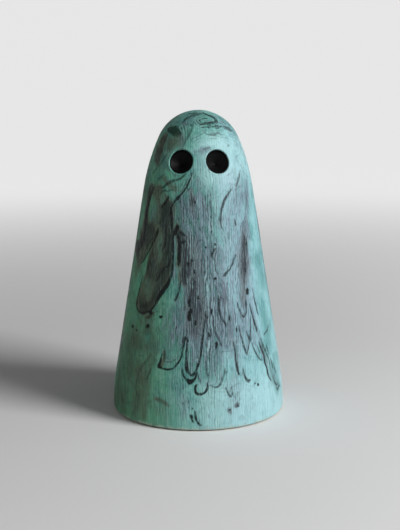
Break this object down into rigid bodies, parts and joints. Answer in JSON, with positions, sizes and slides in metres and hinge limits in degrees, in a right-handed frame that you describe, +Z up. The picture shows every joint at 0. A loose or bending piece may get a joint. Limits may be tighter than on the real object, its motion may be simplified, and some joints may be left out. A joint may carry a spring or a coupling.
{
  "type": "ghost ornament",
  "caption": "Turned wooden ghost figure: a tapering round-headed cone with two drilled black eyes, marbled paint over the grain and a felt disc let into its flat foot.",
  "frame": {"origin": "centre of the underside, on the surface that the ornament stands on", "axes": "+Z up along the turning axis; the eyes look towards -Y; +X is to the viewer's right when facing the eyes"},
  "size_m": [0.074, 0.074, 0.128],
  "materials": {
    "marbled_wood": "satin mint green paint with grey and black ink marbling over open vertical grain",
    "eye_black": "semi-gloss black enamel lining a drilled socket",
    "felt": "dark grey pressed wool felt"
  },
  "bodies": {
    "root": {"body": "marbled_wood", "left_eye": "eye_black", "right_eye": "eye_black", "base_felt": "felt"}
  },
  "joints": []
}
